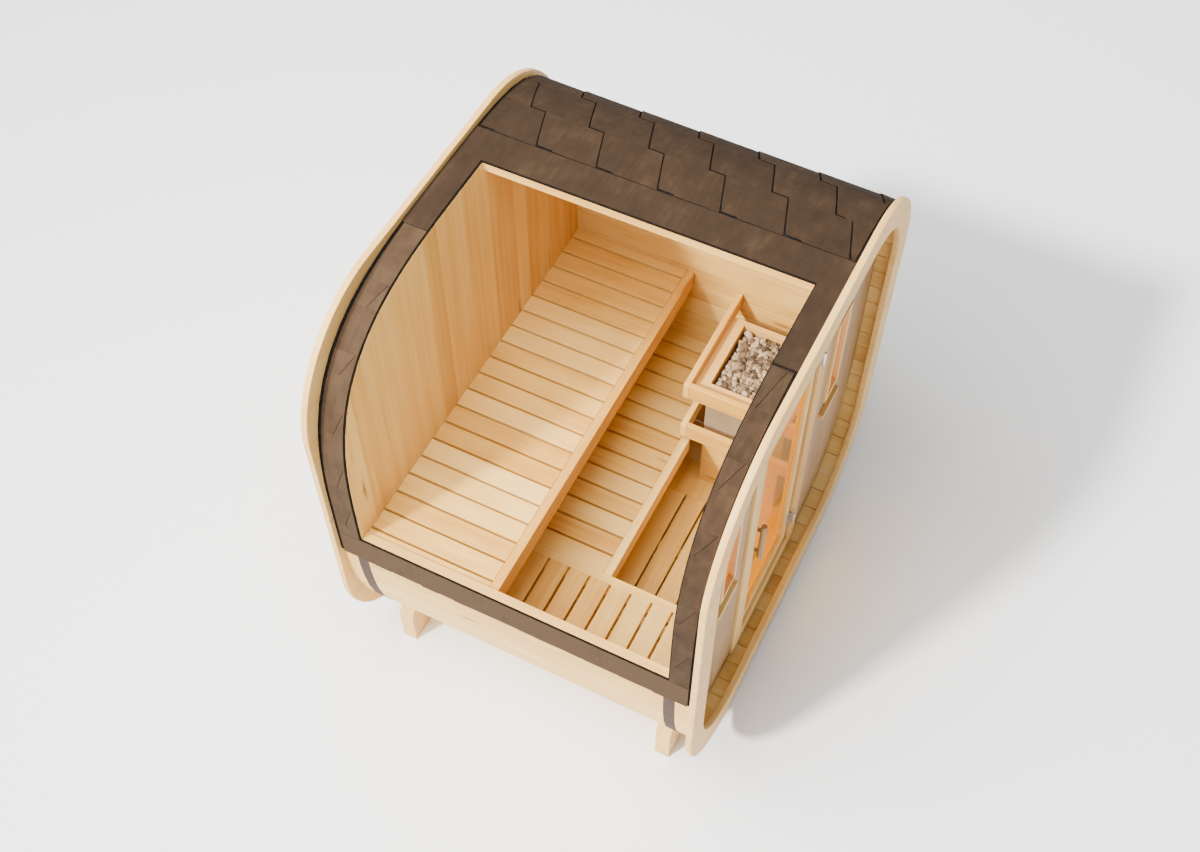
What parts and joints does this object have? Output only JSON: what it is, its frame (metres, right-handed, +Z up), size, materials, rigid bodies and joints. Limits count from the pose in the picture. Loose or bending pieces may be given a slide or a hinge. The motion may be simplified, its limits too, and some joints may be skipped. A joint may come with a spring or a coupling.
{
  "type": "barrel sauna cabin",
  "caption": "Rounded-square timber barrel sauna with a shingle roof cut open over its benches, a heater with a rail guard and a tinted glass door.",
  "frame": {"origin": "centre of the footprint at ground level, under the middle of the cabin", "axes": "+Z up, -Y out of the door wall, +X to the right of someone facing the door from outside"},
  "size_m": [2.032, 1.668, 2.18],
  "materials": {
    "spruce": "planed",
    "trim_wood": "planed",
    "bench_wood": "planed",
    "shingle": "grit-faced bitumen",
    "amber_glass": "tinted",
    "bronze_glass": "tinted",
    "hinge_steel": "brushed",
    "heater_steel": "satin",
    "stones": "rough",
    "strap_steel": "dull"
  },
  "bodies": {
    "cabin": {"floor_staves": "spruce", "left_staves": "spruce", "right_staves": "spruce", "roof_staves": "spruce", "front_hoop_staves": "spruce", "back_hoop_staves": "spruce", "right_shingles": "shingle", "left_shingles": "shingle", "front_ring": "trim_wood", "back_ring": "trim_wood", "back_wall": "spruce", "front_wall_left": "spruce", "front_wall_right": "spruce", "front_wall_top": "spruce", "front_wall_sill": "spruce", "left_window_frame": "trim_wood", "right_window_frame": "trim_wood", "left_window_pane": "amber_glass", "right_window_pane": "amber_glass", "front_trim": "trim_wood", "jamb_hinges": "hinge_steel", "upper_bench": "bench_wood", "upper_fascia": "bench_wood", "lower_bench": "bench_wood", "lower_fascia": "bench_wood", "side_bench": "bench_wood", "side_rail": "bench_wood", "duckboard": "bench_wood", "heater_body": "heater_steel", "heater_stones": "stones", "stone_frame": "trim_wood", "heater_base": "bench_wood", "guard_upper_rail": "trim_wood", "guard_lower_rail": "trim_wood", "front_strap": "strap_steel", "back_strap": "strap_steel", "front_foot": "trim_wood", "back_foot": "trim_wood"},
    "door": {"door_leaf": "trim_wood", "door_glass": "bronze_glass", "door_handle": "trim_wood", "door_hinges": "hinge_steel"}
  },
  "joints": [
    {"name": "door_hinge", "type": "hinge", "parent": "cabin", "child": "door", "pos_m": [0.2605, -0.7663, 1.046], "axis": [0, 0, 1], "range_deg": [0, 95]}
  ]
}
